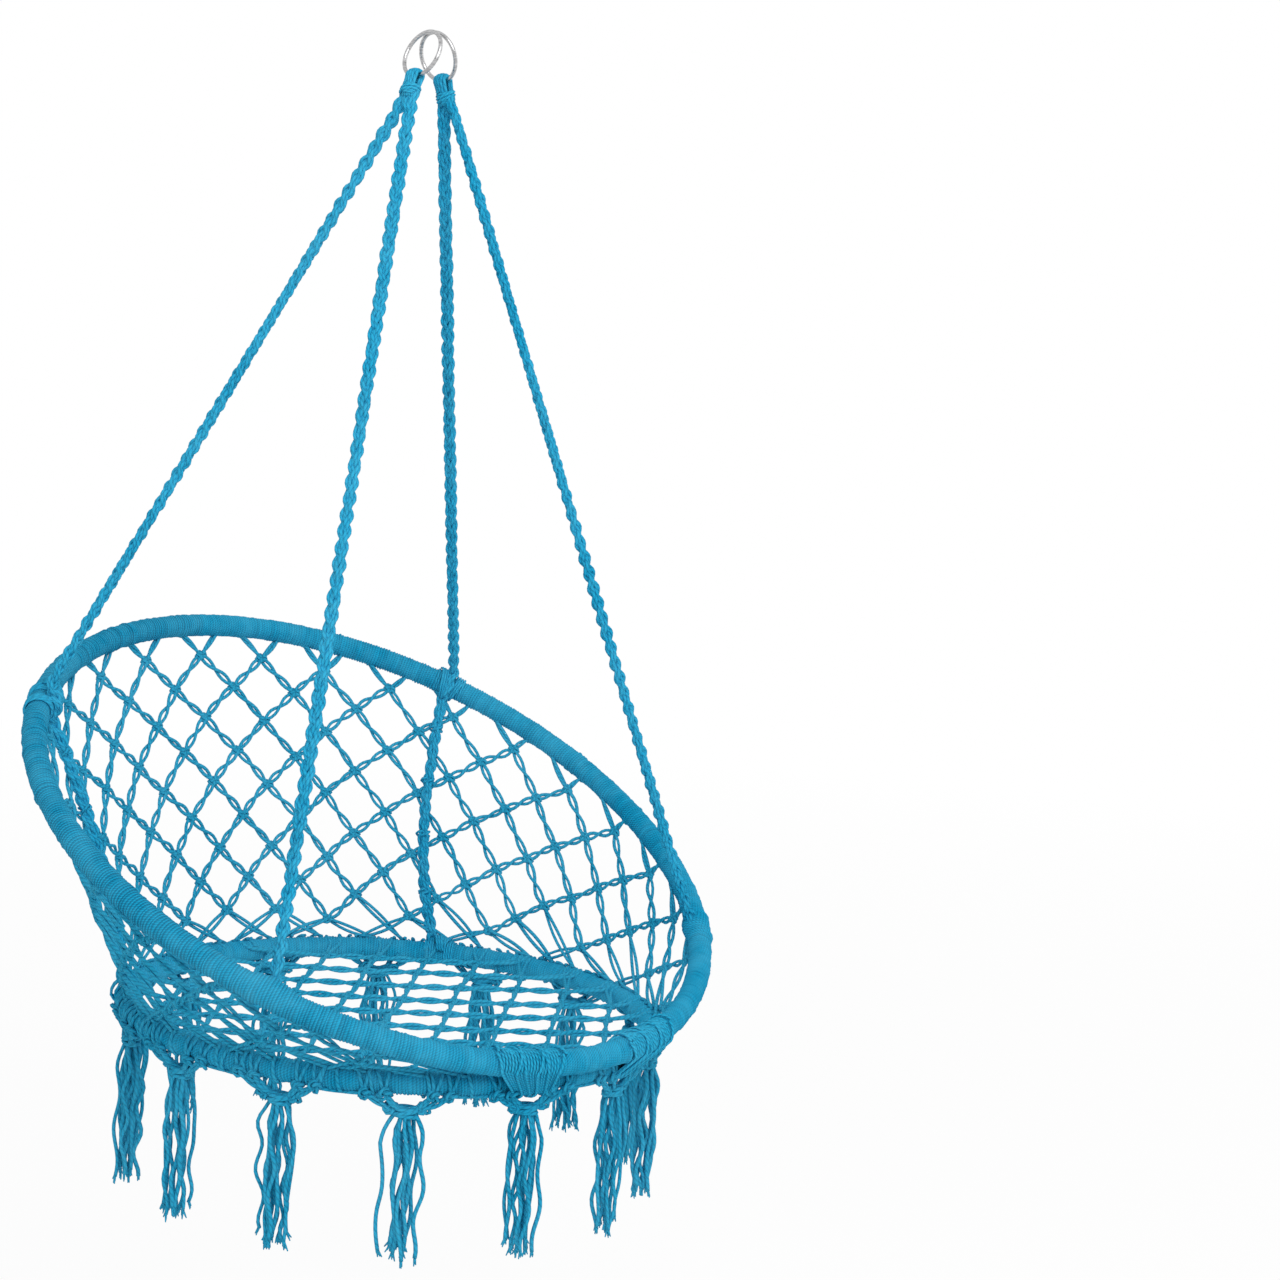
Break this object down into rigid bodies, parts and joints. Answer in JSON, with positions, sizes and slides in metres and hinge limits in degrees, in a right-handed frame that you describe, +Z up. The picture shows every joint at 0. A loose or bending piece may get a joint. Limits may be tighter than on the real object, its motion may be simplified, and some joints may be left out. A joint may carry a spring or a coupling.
{
  "type": "hanging nest chair",
  "caption": "Round hanging chair of knotted cord on two wrapped steel hoops, hung by plaited ropes from a pair of steel rings, with a tasselled rim.",
  "frame": {"origin": "where the hook bears, on the inside of the top of the two hanging rings, midway between them", "axes": "+Z up, the chair faces -Y, +X is to the right of someone facing the chair from the front"},
  "size_m": [0.7876, 0.6936, 1.229],
  "materials": {
    "ring_steel": "polished",
    "hoop_steel": "plain mild steel tube, hidden",
    "winding_cord": "matt cotton cord",
    "rope_cord": "matt cotton cord",
    "tassel_cord": "matt cotton cord",
    "lashing_cord": "matt cotton cord",
    "net_cord": "matt cotton cord"
  },
  "bodies": {
    "rings": {"hanging_ring_left": "ring_steel", "hanging_ring_right": "ring_steel"},
    "chair": {"back_hoop_tube": "hoop_steel", "back_hoop_winding": "winding_cord", "back_net_centre": "net_cord", "back_net_left_1": "net_cord", "back_net_left_2": "net_cord", "back_net_left_3": "net_cord", "back_net_left_4": "net_cord", "back_net_left_5": "net_cord", "back_net_right_1": "net_cord", "back_net_right_2": "net_cord", "back_net_right_3": "net_cord", "back_net_right_4": "net_cord", "back_net_right_5": "net_cord", "front_lashing_left": "lashing_cord", "front_lashing_right": "lashing_cord", "hitch_back_left": "rope_cord", "hitch_back_right": "rope_cord", "hitch_front_left": "rope_cord", "hitch_front_right": "rope_cord", "rope_back_left": "rope_cord", "rope_back_lower_left": "rope_cord", "rope_back_lower_right": "rope_cord", "rope_back_right": "rope_cord", "rope_eye_left": "rope_cord", "rope_eye_right": "rope_cord", "rope_front_left": "rope_cord", "rope_front_right": "rope_cord", "seat_hitch_left": "rope_cord", "seat_hitch_right": "rope_cord", "seat_hoop_tube": "hoop_steel", "seat_hoop_winding": "winding_cord", "seat_net": "net_cord", "tassel_hangers": "tassel_cord", "whipping_left": "lashing_cord", "whipping_right": "lashing_cord"},
    "tassel_01": {"tassel_01": "tassel_cord"},
    "tassel_02": {"tassel_02": "tassel_cord"},
    "tassel_03": {"tassel_03": "tassel_cord"},
    "tassel_04": {"tassel_04": "tassel_cord"},
    "tassel_05": {"tassel_05": "tassel_cord"},
    "tassel_06": {"tassel_06": "tassel_cord"},
    "tassel_07": {"tassel_07": "tassel_cord"},
    "tassel_08": {"tassel_08": "tassel_cord"},
    "tassel_09": {"tassel_09": "tassel_cord"},
    "tassel_10": {"tassel_10": "tassel_cord"},
    "tassel_11": {"tassel_11": "tassel_cord"},
    "tassel_12": {"tassel_12": "tassel_cord"},
    "tassel_13": {"tassel_13": "tassel_cord"},
    "tassel_14": {"tassel_14": "tassel_cord"}
  },
  "joints": [
    {"name": "chair_swing", "type": "hinge", "parent": "rings", "child": "chair", "pos_m": [0, 0, -0.02206], "axis": [1, 0, 0], "range_deg": [-25, 25]},
    {"name": "tassel_01_swing", "type": "hinge", "parent": "chair", "child": "tassel_01", "pos_m": [0.06208, -0.29926, -1.07268], "axis": [0.9748, 0.2232, 0], "range_deg": [-35, 35]},
    {"name": "tassel_02_swing", "type": "hinge", "parent": "chair", "child": "tassel_02", "pos_m": [0.17395, -0.24541, -1.07103], "axis": [0.7805, 0.6252, 0], "range_deg": [-35, 35]},
    {"name": "tassel_03_swing", "type": "hinge", "parent": "chair", "child": "tassel_03", "pos_m": [0.25137, -0.14838, -1.06805], "axis": [0.4312, 0.9023, 0], "range_deg": [-35, 35]},
    {"name": "tassel_04_swing", "type": "hinge", "parent": "chair", "child": "tassel_04", "pos_m": [0.279, -0.02738, -1.06434], "axis": [-0.0032, 1, 0], "range_deg": [-35, 35]},
    {"name": "tassel_05_swing", "type": "hinge", "parent": "chair", "child": "tassel_05", "pos_m": [0.25137, 0.09362, -1.06063], "axis": [-0.4363, 0.8998, 0], "range_deg": [-35, 35]},
    {"name": "tassel_06_swing", "type": "hinge", "parent": "chair", "child": "tassel_06", "pos_m": [0.17395, 0.19065, -1.05765], "axis": [-0.783, 0.6221, 0], "range_deg": [-35, 35]},
    {"name": "tassel_07_swing", "type": "hinge", "parent": "chair", "child": "tassel_07", "pos_m": [0.06208, 0.2445, -1.056], "axis": [-0.9751, 0.2218, 0], "range_deg": [-35, 35]},
    {"name": "tassel_08_swing", "type": "hinge", "parent": "chair", "child": "tassel_08", "pos_m": [-0.06208, 0.2445, -1.056], "axis": [-0.975, -0.222, 0], "range_deg": [-35, 35]},
    {"name": "tassel_09_swing", "type": "hinge", "parent": "chair", "child": "tassel_09", "pos_m": [-0.17395, 0.19065, -1.05765], "axis": [-0.7829, -0.6222, 0], "range_deg": [-35, 35]},
    {"name": "tassel_10_swing", "type": "hinge", "parent": "chair", "child": "tassel_10", "pos_m": [-0.25137, 0.09362, -1.06063], "axis": [-0.4363, -0.8998, 0], "range_deg": [-35, 35]},
    {"name": "tassel_11_swing", "type": "hinge", "parent": "chair", "child": "tassel_11", "pos_m": [-0.279, -0.02738, -1.06434], "axis": [-0.0032, -1, 0], "range_deg": [-35, 35]},
    {"name": "tassel_12_swing", "type": "hinge", "parent": "chair", "child": "tassel_12", "pos_m": [-0.25137, -0.14838, -1.06805], "axis": [0.4311, -0.9023, 0], "range_deg": [-35, 35]},
    {"name": "tassel_13_swing", "type": "hinge", "parent": "chair", "child": "tassel_13", "pos_m": [-0.17395, -0.24541, -1.07103], "axis": [0.7804, -0.6253, 0], "range_deg": [-35, 35]},
    {"name": "tassel_14_swing", "type": "hinge", "parent": "chair", "child": "tassel_14", "pos_m": [-0.06208, -0.29926, -1.07268], "axis": [0.9747, -0.2234, 0], "range_deg": [-35, 35]}
  ]
}
